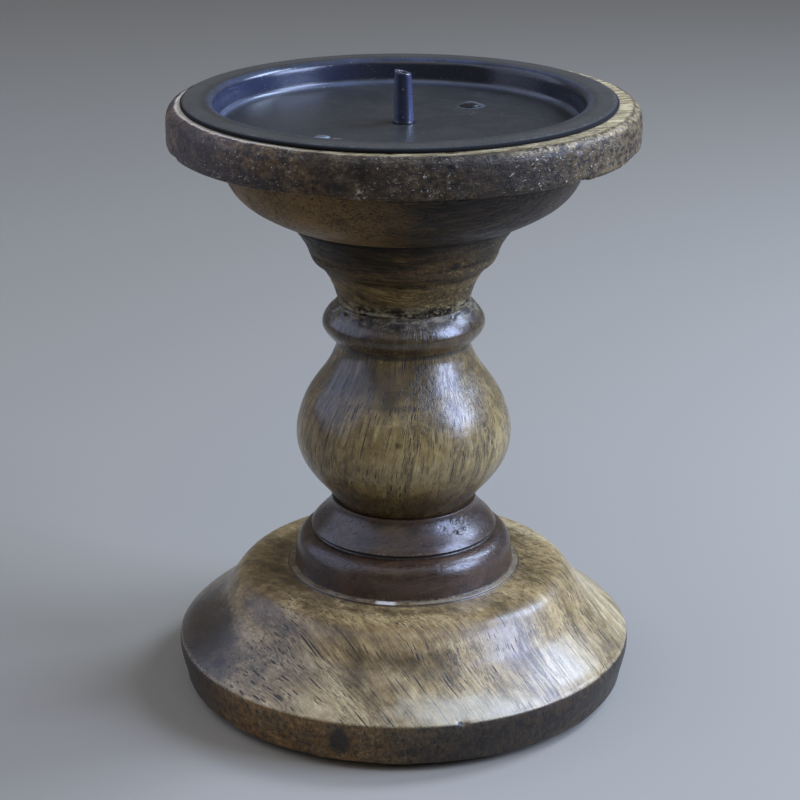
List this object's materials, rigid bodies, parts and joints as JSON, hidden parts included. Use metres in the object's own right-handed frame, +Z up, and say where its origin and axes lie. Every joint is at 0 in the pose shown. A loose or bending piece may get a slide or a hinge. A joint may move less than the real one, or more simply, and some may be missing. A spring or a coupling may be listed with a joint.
{
  "type": "pricket candle stand",
  "caption": "Turned wooden candle stand with a baluster stem, a wide base and a black drip pan with a hollow spike that holds a pillar candle.",
  "frame": {"origin": "centre of the felt disc's underside, on the surface that the stand rests on", "axes": "+Z up along the turned axis, +X to the right and -Y towards the viewer as in the picture"},
  "size_m": [0.1182, 0.1182, 0.162],
  "materials": {
    "base_wood": "rubbed brown stain over pale face grain with open pores, satin",
    "foot_wood": "dark brown stain, polished",
    "stem_wood": "brown stain over long grain, satin",
    "neck_wood": "dark brown stain, satin, filler at the joint",
    "cup_wood": "dark brown stain, worn pale on the rim's top edge, satin",
    "pan_steel": "satin black paint, dusty",
    "spike_steel": "satin black paint",
    "nail_steel": "satin black paint, rubbed on the heads",
    "rod_steel": "zinc-plated steel",
    "felt": "black wool felt"
  },
  "bodies": {
    "root": {"base_plinth": "base_wood", "foot_moulding": "foot_wood", "stem_baluster": "stem_wood", "neck_collar": "neck_wood", "top_cup": "cup_wood", "drip_pan": "pan_steel", "pricket_spike": "spike_steel", "pan_tack": "nail_steel", "pan_pin": "nail_steel", "tie_rod": "rod_steel", "rod_washers": "rod_steel", "rod_nuts": "rod_steel", "felt_pad": "felt"}
  },
  "joints": []
}
